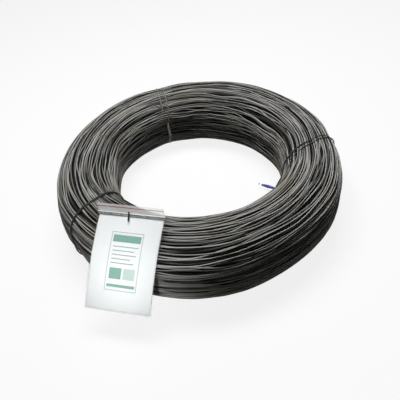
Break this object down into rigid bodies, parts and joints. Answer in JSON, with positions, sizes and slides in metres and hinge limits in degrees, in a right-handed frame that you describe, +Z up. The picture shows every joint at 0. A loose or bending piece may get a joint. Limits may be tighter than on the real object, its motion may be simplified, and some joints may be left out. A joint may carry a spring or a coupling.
{
  "type": "coil of annealed binding wire",
  "caption": "Flat-lying round coil of dark annealed binding wire with an open eye, doubled wire ties, a taped inner wire end and a carded grip-seal bag that leans on its shoulder.",
  "frame": {"origin": "on the floor under the centre of the coil's eye", "axes": "+Z up along the coil's axis; -Y towards the viewer of the picture; the bag leans on the front left shoulder"},
  "size_m": [0.4739, 0.497, 0.136],
  "materials": {
    "coil_wire": "dark annealed steel wire, satin oxide",
    "tie_wire": "black annealed steel wire, satin oxide",
    "bare_wire": "bare bright steel wire",
    "tape": "blue vinyl tape",
    "bag_film": "clear polyethylene film",
    "card": "white printed card"
  },
  "bodies": {
    "root": {"wire_coil": "coil_wire", "tie_wire_left": "tie_wire", "tie_wire_back": "tie_wire", "tie_wire_right": "tie_wire", "tag_wire": "tie_wire", "wire_tail": "bare_wire", "tail_wrap": "tape", "zip_bag": "bag_film", "label_card": "card"}
  },
  "joints": []
}
